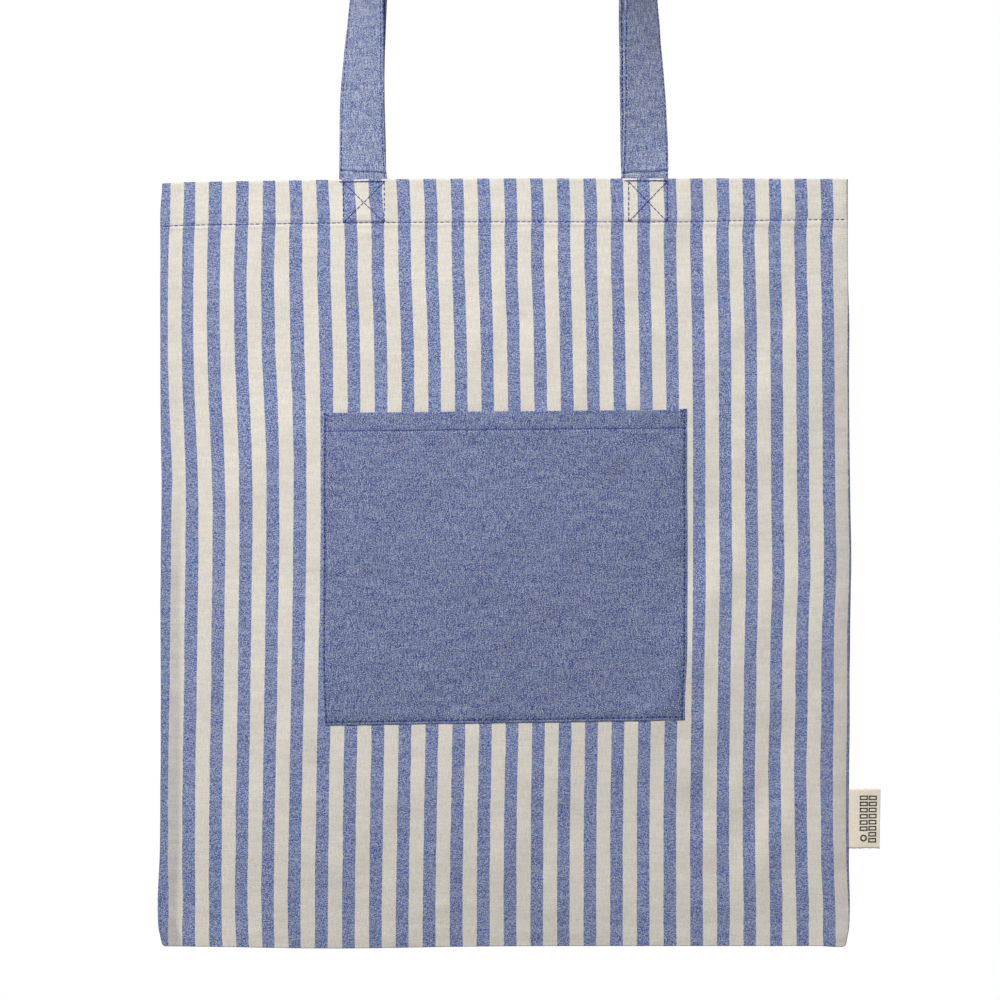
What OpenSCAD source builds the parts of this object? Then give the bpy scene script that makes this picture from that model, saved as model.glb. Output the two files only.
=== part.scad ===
// Striped cotton tote bag, hanging by its two handles.
// Frame: +Z up, front of the bag towards -Y, origin at the underside of the inner handle's arch,
// which is where a peg, a rail or a shoulder carries the bag. Millimetres.

/* [Bag] */
// Width of the bag across its side seams
bag_w = 380; // [320:5:440]
// Height of the bag from the base to the top of the hem
bag_h = 424; // [380:2:460]
// Front to back distance in the middle of the mouth
mouth_depth = 20; // [16:1:30]
// Front to back distance where the bag bellies out most
belly_depth = 26; // [20:1:36]
// Thickness of one ply of the cloth
cloth_t = 0.5; // [0.4:0.05:0.7]
// Depth of the folded top hem
hem_h = 26; // [20:1:30]
// Distance of the hem's stitch line from the top
hem_stitch = 24; // [17:1:28]
// Radius of the bottom corners
corner_r = 4; // [2:0.5:8]

/* [Handles] */
// Width of a handle
strap_w = 26; // [20:1:30]
// Thickness of a handle, four plies of cloth
strap_t = 1.6; // [1.2:0.1:2.2]
// Length of a handle from hem to hem
strap_len = 700; // [600:10:760]
// Distance between a handle's two ends, centre to centre
strap_spacing = 156; // [140:2:170]
// Radius of the arch at the top of the handles, midway between the two
arch_r = 70; // [60:1:75]
// How much closer together the back handle's ends are sewn, on each side
back_inset = 0; // [0:0.5:3]

/* [Pocket] */
// Width of the patch pocket
pocket_w = 201; // [160:1:220]
// Height of the patch pocket
pocket_h = 172; // [140:2:190]
// Distance from the top of the bag to the top of the pocket
pocket_drop = 128; // [90:2:150]
// Depth of the pocket's top hem
pocket_hem = 12; // [10:1:16]
// How far the pocket's mouth stands off the bag in the middle
pocket_gape = 6.5; // [5.5:0.5:9]

/* [Label] */
// How far the folded label stands out of the side seam
label_out = 16; // [12:1:22]
// Height of the label
label_h = 33; // [25:1:40]
// Height of the label's middle above the base
label_up = 70; // [60:5:200]

/* [Hidden] */

striped_cloth = [0.66, 0.68, 0.76];
blue_cloth = [0.42, 0.49, 0.70];
label_cloth = [0.91, 0.88, 0.82];
blue_thread = [0.24, 0.32, 0.58];
cream_thread = [0.86, 0.84, 0.78];

// Clearances between plies that lie on each other
ply_gap = 0.1;
seam_half = 0.8;                  // half the distance between the panels where they are sewn together
seam_t = 1.0;                     // thickness of the two allowances sewn together
seam_w = 10;                      // width of the seam allowances
hem_t = 2 * cloth_t;              // the two plies turned in behind the top edge
edge_power = 2.2;                 // how squarely the bag's plan shape fills out towards its sides
belly_at = 0.4;                   // height of the belly, as a share of the bag's height
thread_w = 0.5;
thread_t = 0.3;
overlock_t = 0.2;

// Handles: the two straps run side by side from the hem and close up into one arch
strap_pair = strap_t + 2.0;       // distance between the two straps' middles over the arch
arch_z = -(arch_r - strap_pair / 2 - strap_t / 2);
leg_len = (strap_len - PI * arch_r) / 2;
leg_rise = sqrt(pow(leg_len, 2) - pow(strap_spacing / 2 - arch_r, 2));
top_z = arch_z - leg_rise;
base_z = top_z - bag_h;
leg_start = 0.5;                  // the sewn end stops at the hem and the free handle begins this far above it
leg_rings = 24;
arch_rings = 24;

// Pocket
pocket_top = top_z - pocket_drop;
pocket_base = pocket_top - pocket_h;
pocket_turn = 8;                  // turned-in edge along the pocket's sides and base
pocket_stitch = 1.4;              // distance of the pocket's stitch line from its edge

// Label
label_z = base_z + label_up;
label_ply = 0.25;
label_t = 0.8;
label_start = bag_w / 2 + 1.1;

// Depth of the bag from its middle plane to the panel, on the centre line, at a height
function centre_half(z) =
    let (v = min(1, max(0, (z - base_z) / bag_h)))
    v < belly_at
        ? belly_depth / 2 * (1 - pow(1 - v / belly_at, 2))
        : belly_depth / 2 + (mouth_depth - belly_depth) / 2
            * (1 - cos(180 * (v - belly_at) / (1 - belly_at))) / 2;

// Distance of a panel's inner face from the middle plane
function half_gap(x, z) =
    seam_half + centre_half(z) * (1 - pow(min(1, abs(x) / (bag_w / 2)), edge_power));

// A point on the front panel: out is how far it lies outside the panel's inner face
function on_front(x, z, out) = [x, -(half_gap(x, z) + out), z];

// Lower edge of the panels, with round corners
function lower_edge(x) =
    let (over = max(0, abs(x) - (bag_w / 2 - corner_r)))
    base_z + corner_r - sqrt(max(0, pow(corner_r, 2) - pow(over, 2)));

// Even steps from a to b
function steps(a, b, n) = [for (i = [0:n]) a + (b - a) * i / n];

// Closed solid through rings of points: every ring runs up one face and back down the other
module loft(rings) {
    n = len(rings[0]);
    last = len(rings) - 1;
    sides = [
        for (i = [0:last - 1], j = [0:n - 1])
            let (k = (j + 1) % n)
            each [
                [i * n + j, (i + 1) * n + j, (i + 1) * n + k],
                [i * n + j, (i + 1) * n + k, i * n + k]
            ]
    ];
    caps = [
        for (j = [0:n / 2 - 2])
            let (a = j, b = j + 1, c = n - 2 - j, d = n - 1 - j, e = last * n)
            each [[a, b, c], [a, c, d], [e + c, e + b, e + a], [e + d, e + c, e + a]]
    ];
    polyhedron([for (ring = rings) each ring], concat(sides, caps), convexity = 8);
}

// The back of the bag is the front turned round through the middle plane
module on_back() mirror([0, 1, 0]) children();

// One body panel with its top edge folded in and turned under
module panel() {
    fold_z = top_z - hem_h;
    hem_in = function (x, z) z < fold_z - 0.2 ? 0 : -min(hem_t, half_gap(x, z) - ply_gap);
    zs_up = function (x) concat(steps(lower_edge(x), fold_z - 0.5, 12), [fold_z, top_z]);
    xs = concat(
        [-bag_w / 2, -bag_w / 2 + corner_r * 0.3, -bag_w / 2 + corner_r],
        steps(-bag_w / 2 + 14, bag_w / 2 - 14, 16),
        [bag_w / 2 - corner_r, bag_w / 2 - corner_r * 0.3, bag_w / 2]
    );
    loft([
        for (x = xs)
            let (zs = zs_up(x), n = len(zs) - 1)
            concat(
                [for (z = zs) on_front(x, z, cloth_t)],
                [for (i = [n:-1:0]) on_front(x, zs[i], hem_in(x, zs[i]))]
            )
    ]);
}

// Strip of cloth on the front panel, between two distances from the panel's inner face
module strip(x0, x1, z0, z1, inner, outer, nx = 6, nz = 3)
    loft([
        for (x = steps(x0, x1, nx)) concat(
            [for (z = steps(z0, z1, nz)) on_front(x, z, outer)],
            [for (z = steps(z1, z0, nz)) on_front(x, z, inner)]
        )
    ]);

// Sewn end of a handle, flat behind the hem
module handle_end(x) {
    strip(x - strap_w / 2, x + strap_w / 2, top_z - hem_h + 1, top_z,
        -hem_t - ply_gap - strap_t, -hem_t - ply_gap);
}

// Line of thread over the front panel through [x, z] points, lying this far outside its inner face
module thread_on_front(points, out) {
    last = len(points) - 1;
    loft([
        for (i = [0:last])
            let (
                way = points[min(i + 1, last)] - points[max(i - 1, 0)],
                across = [-way.y, way.x] / norm(way) * thread_w / 2,
                a = points[i] + across,
                b = points[i] - across
            )
            [
                on_front(a.x, a.y, out + thread_t), on_front(b.x, b.y, out + thread_t),
                on_front(b.x, b.y, out), on_front(a.x, a.y, out)
            ]
    ]);
}

// Straight line of thread from one [x, z] point to another
module thread_between(a, b, out, n = 8)
    thread_on_front([for (t = steps(0, 1, n)) a + (b - a) * t], out);

// Needle thread outside and bobbin thread inside, along the top hem
module hem_stitching() {
    z = top_z - hem_stitch;
    ends = bag_w / 2 - 3;
    inner_ends = bag_w / 2 - 14;
    color(blue_thread) {
        thread_between([-ends, z], [ends, z], cloth_t + ply_gap, 30);
        for (span = [
            [-inner_ends, -strap_spacing / 2 - strap_w / 2 - 2],
            [-strap_spacing / 2 + strap_w / 2 + 2, strap_spacing / 2 - strap_w / 2 - 2],
            [strap_spacing / 2 + strap_w / 2 + 2, inner_ends]
        ])
            thread_between([span[0], z], [span[1], z], -hem_t - ply_gap - thread_t, 12);
    }
}

// Square with a cross that holds one end of a handle, seen on the outside
module box_stitching(x) {
    half = strap_w / 2 - 1.4;
    high = top_z - 1;
    low = top_z - hem_stitch + 1;
    gap = 1;
    out = cloth_t + ply_gap;
    color(blue_thread) {
        for (s = [-1, 1])
            thread_between([x + s * half, low], [x + s * half, high], out);
        thread_between([x - half + gap, high - thread_w], [x + half - gap, high - thread_w], out);
        thread_between([x - half + gap, low + gap], [x + half - gap, high - 2 * gap], out);
        thread_between([x - half + gap, high - 2 * gap], [x + half - gap, low + gap], out + thread_t + 0.05);
    }
}

// Frame of the pair of straps at a share u of one leg, on side sx: [middle, way across, way out]
function leg_frame(sx, u, inset) =
    let (
        ease = u * u * (3 - 2 * u),
        turn = 90 * pow(u, 1.08),
        x = (strap_spacing / 2 - inset) * (1 - ease) + arch_r * ease
    )
    [
        [sx * x, 0, top_z + leg_start + u * (leg_rise - leg_start)],
        [sx * cos(turn), sin(turn), 0],
        [sx * sin(turn), -cos(turn), 0]
    ];

// Frame over the arch, at an angle from +X
function arch_frame(a) =
    [[arch_r * cos(a), 0, arch_z + arch_r * sin(a)], [0, 1, 0], [cos(a), 0, sin(a)]];

// Distance between the two straps' middles: wide at the mouth, closing up towards the arch
hem_pair = 2 * (half_gap(strap_spacing / 2, top_z) - hem_t - ply_gap - strap_t / 2);
function pair_distance(u) = strap_pair + (hem_pair - strap_pair) * pow(1 - u, 4);

// All frames along one handle from its left end to its right end; the front handle is the outer one
function handle_frames(front) =
    let (side = front ? 1 : -1, inset = front ? 0 : back_inset)
    concat(
        [for (u = steps(0, 1, leg_rings)) let (f = leg_frame(-1, u, inset))
            [f[0] + side * f[2] * pair_distance(u) / 2, -f[1], f[2]]],
        [for (i = [1:arch_rings - 1]) let (f = arch_frame(180 - 180 * i / arch_rings))
            [f[0] + side * f[2] * strap_pair / 2, -f[1], f[2]]],
        [for (u = steps(1, 0, leg_rings)) let (f = leg_frame(1, u, inset))
            [f[0] + side * f[2] * pair_distance(u) / 2, -f[1], f[2]]]
    );

// Ring round a band of width w and thickness t, set off from the handle's middle by across and out
function ring_at(f, across, out, w, t, n = 1) =
    let (c = f[0] + f[1] * across + f[2] * out)
    concat(
        [for (y = steps(w / 2, -w / 2, n)) c + f[1] * y + f[2] * t / 2],
        [for (y = steps(-w / 2, w / 2, n)) c + f[1] * y - f[2] * t / 2]
    );

module handle(front)
    color(blue_cloth) loft([for (f = handle_frames(front)) ring_at(f, 0, 0, strap_w, strap_t, 6)]);

// Edge stitching along both edges of a handle, on both of its faces
module handle_stitching(front) {
    inset = 1.2;
    lift = strap_t / 2 + 0.12 + thread_t / 2;
    color(blue_thread)
        for (across = [-1, 1] * (strap_w / 2 - inset), out = [-lift, lift])
            loft([for (f = handle_frames(front)) ring_at(f, across, out, thread_w, thread_t)]);
}

// Patch pocket: one ply with a top hem and turned-in edges, standing off the bag at its mouth
module pocket() {
    gape = function (x, z)
        pocket_gape * (1 - pow(x / (pocket_w / 2), 2)) * (1 - pow((pocket_top - z) / pocket_h, 1.5));
    turned = function (x, z)
        abs(x) > pocket_w / 2 - pocket_turn - 0.5
        || z < pocket_base + pocket_turn + 0.5
        || z > pocket_top - pocket_hem - 0.5;
    ply = function (x, z) turned(x, z) ? 2 * cloth_t : cloth_t;
    rest = cloth_t + 0.15 + 2 * cloth_t;
    xs = concat(
        [-pocket_w / 2, -pocket_w / 2 + pocket_turn],
        steps(-pocket_w / 2 + pocket_turn + 1, pocket_w / 2 - pocket_turn - 1, 14),
        [pocket_w / 2 - pocket_turn, pocket_w / 2]
    );
    zs = concat(
        [pocket_base, pocket_base + pocket_turn],
        steps(pocket_base + pocket_turn + 1, pocket_top - pocket_hem - 1, 10),
        [pocket_top - pocket_hem, pocket_top]
    );
    n = len(zs) - 1;
    color(blue_cloth) loft([
        for (x = xs) concat(
            [for (z = zs) on_front(x, z, rest + gape(x, z))],
            [for (i = [n:-1:0]) on_front(x, zs[i], rest + gape(x, zs[i]) - ply(x, zs[i]))]
        )
    ]);
}

// Stitch line across the pocket's own hem, riding on the gaping mouth
module pocket_hem_stitching() {
    z = pocket_top - pocket_hem + 2;
    ends = pocket_w / 2 - 3;
    drop = 1 - pow((pocket_top - z) / pocket_h, 1.5);
    rest = cloth_t + 0.15 + 2 * cloth_t + ply_gap;
    color(blue_thread) loft([
        for (x = steps(-ends, ends, 24))
            let (out = rest + pocket_gape * (1 - pow(x / (pocket_w / 2), 2)) * drop)
            [
                on_front(x, z + thread_w / 2, out + thread_t), on_front(x, z - thread_w / 2, out + thread_t),
                on_front(x, z - thread_w / 2, out), on_front(x, z + thread_w / 2, out)
            ]
    ]);
}

// Stitching down both sides and along the base of the pocket
module pocket_edge_stitching() {
    side = pocket_w / 2 - pocket_stitch;
    base = pocket_base + pocket_stitch;
    out = cloth_t + 0.15 + 2 * cloth_t + 0.35;
    color(blue_thread) {
        for (s = [-1, 1])
            thread_between([s * side, base + thread_w], [s * side, pocket_top - 1], out, 20);
        thread_between([-side, base], [side, base], out, 20);
    }
}

// The seam allowances of both panels, sewn together and turned inside
module side_seam(with_slot = false) {
    low = base_z + corner_r + 0.2;
    high = top_z - hem_h - 0.5;
    color(striped_cloth) difference() {
        translate([bag_w / 2 - seam_w, -seam_t / 2, low]) cube([seam_w - 0.2, seam_t, high - low]);
        if (with_slot)
            translate([bag_w / 2 - seam_w + 1.5, -0.25, label_z - label_h / 2 - 0.1])
                cube([seam_w, 0.5, label_h + 0.2]);
    }
}

module bottom_seam()
    color(striped_cloth)
        translate([-bag_w / 2 + seam_w + 0.8, -seam_t / 2, base_z + 0.3])
            cube([bag_w - 2 * seam_w - 1.6, seam_t, seam_w - 0.3]);

// Overlock thread wrapped round a raw edge: a channel open towards +X, from x = 0
module overlock(length) {
    reach = 4;
    outer = seam_t / 2 + ply_gap / 2 + overlock_t;
    color(cream_thread) difference() {
        translate([-overlock_t - 0.05, -outer, 0]) cube([reach, 2 * outer, length]);
        translate([-0.05, -outer + overlock_t, -1]) cube([reach + 1, 2 * (outer - overlock_t), length + 2]);
    }
}

module side_overlock() {
    low = base_z + seam_w + 1.5;
    translate([bag_w / 2 - seam_w, 0, low]) overlock(top_z - hem_h - 1 - low);
}

module bottom_overlock()
    translate([-bag_w / 2 + seam_w + 2, 0, base_z + seam_w]) rotate([0, 90, 0])
        overlock(bag_w - 2 * seam_w - 4);

// Folded woven label: two plies with a round fold at the free end
module label() {
    round_end = label_t / 2;
    color(label_cloth) translate([label_start, 0, label_z - label_h / 2]) linear_extrude(label_h)
        difference() {
            union() {
                translate([0, -label_t / 2]) square([label_out - round_end, label_t]);
                translate([label_out - round_end, 0]) circle(r = round_end, $fn = 24);
            }
            translate([-1, -label_t / 2 + label_ply])
                square([label_out - round_end + 1, label_t - 2 * label_ply]);
        }
}

// End of the label that is caught in the side seam
module label_tail()
    color(label_cloth) translate([bag_w / 2 - seam_w + 2, -0.2, label_z - label_h / 2])
        cube([label_start - 0.3 - (bag_w / 2 - seam_w + 2), 0.4, label_h]);

front_end = strap_spacing / 2;
back_end = strap_spacing / 2 - back_inset;

color(striped_cloth) panel();  // front_panel
color(striped_cloth) on_back() panel();  // back_panel
mirror([1, 0, 0]) side_seam();  // left_side_seam
side_seam(with_slot = true);  // right_side_seam
bottom_seam();
mirror([1, 0, 0]) side_overlock();  // left_seam_overlock
side_overlock();  // right_seam_overlock
bottom_overlock();  // bottom_seam_overlock
handle(true);  // front_handle
handle(false);  // back_handle
color(blue_cloth) handle_end(-front_end);  // front_handle_left_end
color(blue_cloth) handle_end(front_end);  // front_handle_right_end
color(blue_cloth) on_back() handle_end(-back_end);  // back_handle_left_end
color(blue_cloth) on_back() handle_end(back_end);  // back_handle_right_end
pocket();
label();
label_tail();
hem_stitching();  // front_hem_stitching
on_back() hem_stitching();  // back_hem_stitching
pocket_hem_stitching();
pocket_edge_stitching();
box_stitching(-front_end);  // front_left_box_stitching
box_stitching(front_end);  // front_right_box_stitching
on_back() box_stitching(-back_end);  // back_left_box_stitching
on_back() box_stitching(back_end);  // back_right_box_stitching
handle_stitching(true);  // front_handle_stitching
handle_stitching(false);  // back_handle_stitching
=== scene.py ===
import math

import bpy
import numpy as np
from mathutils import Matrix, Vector


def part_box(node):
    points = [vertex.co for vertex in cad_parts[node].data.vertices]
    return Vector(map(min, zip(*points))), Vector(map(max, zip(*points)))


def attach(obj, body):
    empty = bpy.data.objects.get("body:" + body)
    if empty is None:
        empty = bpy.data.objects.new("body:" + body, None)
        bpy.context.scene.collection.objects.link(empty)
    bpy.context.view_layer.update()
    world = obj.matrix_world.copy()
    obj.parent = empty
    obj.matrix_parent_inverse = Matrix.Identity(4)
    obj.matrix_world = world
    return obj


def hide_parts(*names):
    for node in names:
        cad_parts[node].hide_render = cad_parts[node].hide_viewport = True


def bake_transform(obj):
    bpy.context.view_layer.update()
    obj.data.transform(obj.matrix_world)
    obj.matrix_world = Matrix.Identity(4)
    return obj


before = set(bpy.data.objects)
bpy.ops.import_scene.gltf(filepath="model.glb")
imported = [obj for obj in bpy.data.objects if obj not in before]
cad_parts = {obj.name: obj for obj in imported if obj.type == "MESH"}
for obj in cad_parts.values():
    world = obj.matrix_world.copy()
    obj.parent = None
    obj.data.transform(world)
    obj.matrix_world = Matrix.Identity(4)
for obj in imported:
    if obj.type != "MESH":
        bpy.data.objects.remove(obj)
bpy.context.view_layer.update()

MM = 0.001

# ---- sizes, in millimetres


def box_mm(node):
    low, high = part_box(node)
    return np.array(low) / MM, np.array(high) / MM


panel_low, panel_high = box_mm("front_panel")
HALF_W = panel_high[0]
TOP, BASE = panel_high[2], panel_low[2]
HEIGHT = TOP - BASE
pocket_low, pocket_high = box_mm("pocket")
POCKET_HALF = pocket_high[0]
POCKET_BASE = pocket_low[2] - BASE
POCKET_H = pocket_high[2] - pocket_low[2]
label_low, label_high = box_mm("label")
LABEL_H = label_high[2] - label_low[2]
LABEL_MID = (label_low[2] + label_high[2]) / 2
# The label reaches a little further out than its box.
LABEL_END = label_high[0] + 1.0

# One ply of cloth, the hem and its stitch line below the top, and the allowance inside the seams.
PLY = 0.5
HEM, HEM_STITCH = 26.0, 24.0
ALLOWANCE = 9.6
# Half the bag's depth in the seams, at the belly (a share of the height up) and at the mouth.
SEAM_HALF, BELLY_HALF, MOUTH_HALF = 0.8, 13.0, 10.0
BELLY_AT = 0.4
# How square the bag's section is, its bottom corners, and half the groove along its seams.
EDGE_POWER, CORNER_R, GROOVE = 2.2, 2.2, 0.12
# The way from one stripe to the next, and the middle of the first one.
STRIPE_PITCH, FIRST_STRIPE = 14.66, -174.8

# The straps, their spacing, the arch they hang from and the way between them there.
STRAP_W, STRAP_T = 26.0, 1.6
SPACING = 156.0
STRAP_PAIR = STRAP_T + 2.0
ARCH_R = 70.0
ARCH_Z = -(ARCH_R - STRAP_PAIR / 2 - STRAP_T / 2)
# A strap's quarter turn is quicker near the hem.
TWIST = 0.88

# The pocket's hem, its gape at the mouth, its lines of stitches and their pitches.
POCKET_HEM, POCKET_GAPE = 12.0, 6.5
POCKET_LEFT_LINE, POCKET_RIGHT_LINE = 1.0 - POCKET_HALF, POCKET_HALF - 1.6
POCKET_BASE_LINE, POCKET_HEM_LINE = 1.9, POCKET_H - 10
POCKET_EDGE_PITCH, POCKET_HEM_PITCH = 3.2, 3.1


def smooth(a, b, x):
    """0 up to a, 1 from b on, and an even S between them."""
    t = np.clip((x - a) / (b - a), 0, 1)
    return t * t * (3 - 2 * t)


def chain(*parts):
    return np.concatenate(parts)


def columns(half, steps, gap, count):
    """Places across a sheet: close together at its rounded edges, and even between them."""
    return chain(steps - half, np.linspace(gap - half, half - gap, count), (half - steps)[::-1])


def stacked(*parts):
    """Coordinates side by side, stretched to one shape."""
    return np.stack(np.broadcast_arrays(*parts), -1)


def unit(vectors):
    return vectors / np.linalg.norm(vectors, axis=-1, keepdims=True)


def path_length(points):
    """The way along a path to each of its points."""
    return chain([0], np.cumsum(np.linalg.norm(np.diff(points, axis=0), axis=1)))


def on_path(s, at, points):
    """The places a way s along a path, whose points lie at the ways at."""
    return np.stack([np.interp(s, at, column) for column in points.T], -1)


def bell(x, width):
    return np.exp(-((x / width) ** 2))


def bells(x, rows):
    """A sum of bells, each given by its centre, width and height."""
    return sum(height * bell(x - centre, width) for centre, width, height in rows)


class Waves:
    """Smooth random relief of about unit height: sine waves with lengths between two limits."""

    def __init__(self, seed, shortest, longest, count=14):
        r = np.random.default_rng(seed)
        length = shortest * (longest / shortest) ** r.random(count)
        angle = r.random(count) * 2 * math.pi
        self.kx = 2 * math.pi / length * np.cos(angle)
        self.kz = 2 * math.pi / length * np.sin(angle)
        self.phase = r.random(count) * 2 * math.pi
        self.size = (length / longest) ** 0.7
        self.size /= math.sqrt((self.size**2).sum() / 2)

    def __call__(self, x, z):
        out = np.zeros(np.broadcast(x, z).shape)
        for kx, kz, phase, size in zip(self.kx, self.kz, self.phase, self.size):
            out += size * np.sin(kx * x + kz * z + phase)
        return out * 0.7


class Creases:
    """Short soft creases left by folding and handling, scattered over a panel."""

    def __init__(self, seed, count):
        r = np.random.default_rng(seed)
        u = r.uniform(12 - HALF_W, HALF_W - 12, count)
        v = r.uniform(20, HEIGHT - 40, count)
        angle = r.uniform(-0.6, 0.9, count) + (r.random(count) < 0.3) * 1.2
        length = r.uniform(8, 26, count)
        width = r.uniform(1.0, 2.4, count)
        bow = r.normal(0, 0.006, count)
        size = r.normal(0, 0.26, count)
        self.rows = list(zip(u, v, angle, length, width, bow, size))

    def __call__(self, u, v):
        out = np.zeros(np.broadcast(u, v).shape)
        for u0, v0, angle, length, width, bow, size in self.rows:
            along = (u - u0) * math.cos(angle) + (v - v0) * math.sin(angle)
            across = (v - v0) * math.cos(angle) - (u - u0) * math.sin(angle) - bow * along**2
            out += size * bell(across, width) * bell(along, length)
        return out


# ---- mesh helpers


def add_uv(me, name, uv, index):
    layer = me.uv_layers.new(name=name)
    layer.data.foreach_set("uv", np.asarray(uv).reshape(-1, 2)[index].astype(np.float32).ravel())


def add_object(name, data):
    o = bpy.data.objects.new(name, data)
    bpy.context.scene.collection.objects.link(o)
    return o


def make(name, points, faces, uv=None, material=None, slot=None, place_uv=None):
    """A smooth object from points in millimetres, faces as index arrays and a uv per point in metres."""
    me = bpy.data.meshes.new(name)
    corners = [face for lot in faces for face in lot.tolist()]
    me.from_pydata((np.asarray(points).reshape(-1, 3) * MM).tolist(), [], corners)
    me.polygons.foreach_set("use_smooth", np.ones(len(me.polygons), bool))
    if uv is not None:
        index = np.zeros(len(me.loops), np.int32)
        me.loops.foreach_get("vertex_index", index)
        add_uv(me, "flat", uv, index)
        if place_uv is not None:
            add_uv(me, "place", place_uv, index)
    me.validate()
    me.materials.append(material)
    o = add_object(name, me)
    return o


def shell(outer, inner, flat, inside=(0.0, 0.0)):
    """Points, faces and uv of a thin closed sheet between two grids, the inner one's uv set inside."""
    grid = np.arange(outer[..., 0].size).reshape(outer.shape[:2])
    quads = stacked(grid[:-1, :-1], grid[:-1, 1:], grid[1:, 1:], grid[1:, :-1]).reshape(-1, 4)
    rim = chain(grid[0], grid[1:, -1], grid[-1, -2::-1], grid[-2:0:-1, 0])
    nxt = np.roll(rim, -1)
    sides = stacked(nxt, rim, rim + grid.size, nxt + grid.size)
    faces = [quads, quads[:, ::-1] + grid.size, sides]
    return chain(outer, inner), faces, chain(flat, flat + inside)


def rolled_edge(climb, down, height, middle, outer_r, inner_r, steps, bend):
    """The rows of a sheet that climbs to a height, rolls over a centre this far out and comes down again.

    Returns the heights and distances out of its outer and its inner face, and the length along it.
    """
    arc = np.linspace(0, math.pi, steps)[1:]
    start = height - outer_r
    sides = []
    for r in (outer_r, inner_r):
        up = chain(climb, start + r * np.sin(arc), down)
        before, after = np.full(len(climb), middle + r), np.full(len(down), middle - r)
        sides.append((up[:, None], chain(before, middle + r * np.cos(arc), after)[:, None]))
    length = chain(climb, start + bend * arc / math.pi, 2 * height - down)
    return *sides, length[:, None]


def tubes(centres, normals, radius, sides=6):
    """Short tubes of thread: centres is (stitches, points along each, 3)."""
    way = unit(np.gradient(centres, axis=1))
    side = unit(np.cross(way, normals))
    up = np.cross(side, way)
    a = (np.arange(sides) / sides * 2 * math.pi)[None, None, :, None]
    ring = np.cos(a) * side[:, :, None] + np.sin(a) * up[:, :, None]
    points = centres[:, :, None] + ring * np.asarray(radius).reshape(1, -1, 1, 1)
    grid = np.arange(points[..., 0].size).reshape(points.shape[:3])
    nxt = np.roll(grid, -1, axis=2)
    quads = stacked(grid[:, :-1], nxt[:, :-1], nxt[:, 1:], grid[:, 1:]).reshape(-1, 4)
    return points.reshape(-1, 3), [quads, grid[:, 0, ::-1], grid[:, -1]]


def even_pitch(run_length, pitch):
    """The pitch nearest the given one that divides a run into whole stitches."""
    return run_length / max(1, round(run_length / pitch))


# A stitch from end to end: shares of its length, shares of its radius, and heights above the cloth.
STITCH_SHAPE = np.array([0.0, 0.22, 0.5, 0.78, 1.0])
STITCH_RADIUS = np.array([0.6, 0.95, 1.0, 0.95, 0.6])
STITCH_LIFT = np.array([-0.16, 0.06, 0.12, 0.06, -0.16])
NEEDLE_ALONG, NEEDLE_ASIDE = 0.04, 0.05


def stitches(runs, surface, pitch, length, r, seed):
    """Single stitches along 2-D runs. surface(a, b, n) gives the points a height n above the cloth."""
    rng = np.random.default_rng(seed)
    starts, ends = [], []
    for run in runs:
        run = np.asarray(run, float)
        at = path_length(run)
        p = even_pitch(at[-1], pitch)
        n = round(at[-1] / p)
        s = np.arange(n) * p + p * (1 - length / pitch) / 2
        e = s + p * length / pitch
        s, e = s + rng.normal(0, NEEDLE_ALONG, n), e + rng.normal(0, NEEDLE_ALONG, n)
        starts.append(on_path(s, at, run))
        ends.append(on_path(e, at, run))
    a, b = np.concatenate(starts), np.concatenate(ends)
    # Each needle hole is a little off the line, and a stitch slants a little.
    across = unit(stacked((a - b)[:, 1], (b - a)[:, 0]))
    a = a + across * rng.normal(0, NEEDLE_ASIDE, (len(a), 1))
    b = b + across * rng.normal(0, NEEDLE_ASIDE, (len(b), 1))
    t = STITCH_SHAPE[None, :, None]
    line = a[:, None] * (1 - t) + b[:, None] * t
    n = np.broadcast_to(STITCH_LIFT, line.shape[:2])
    low = surface(line[..., 0], line[..., 1], n)
    high = surface(line[..., 0], line[..., 1], n + 0.5)
    return tubes(low, unit(high - low), STITCH_RADIUS * r)


def join(parts):
    """Several (points, faces) as one."""
    points, faces, at = [], [], 0
    for p, f in parts:
        points.append(p)
        faces += [a + at for a in f]
        at += len(p)
    return np.concatenate(points), faces


# ---- the bag's shape


def centre_half(v):
    """Half the bag's depth half way across, a height v up."""
    t = np.clip(v / HEIGHT, 0, 1)
    low = BELLY_HALF * (1 - (1 - t / BELLY_AT) ** 2)
    turn = (1 - np.cos(math.pi * (t - BELLY_AT) / (1 - BELLY_AT))) / 2
    return np.where(t < BELLY_AT, low, BELLY_HALF + (MOUTH_HALF - BELLY_HALF) * turn)


def half_gap(u, v):
    return SEAM_HALF + centre_half(v) * (1 - np.clip(np.abs(u) / HALF_W, 0, 1) ** EDGE_POWER)


def lower_edge(u):
    over = np.clip(np.abs(u) - (HALF_W - CORNER_R), 0, CORNER_R)
    return CORNER_R - np.sqrt(CORNER_R**2 - over**2)


def nip(u, v):
    """How far a point is drawn in where the side edges run in to the bottom corners."""
    return 1.5 * smooth(12, 0, v) * smooth(60, HALF_W, np.abs(u))


def rounded(inwards, r):
    """The height of a rounded edge, as a share, a distance inwards from its rim."""
    return np.sqrt(1 - np.clip(1 - inwards / r, 0, 1) ** 2)


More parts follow.
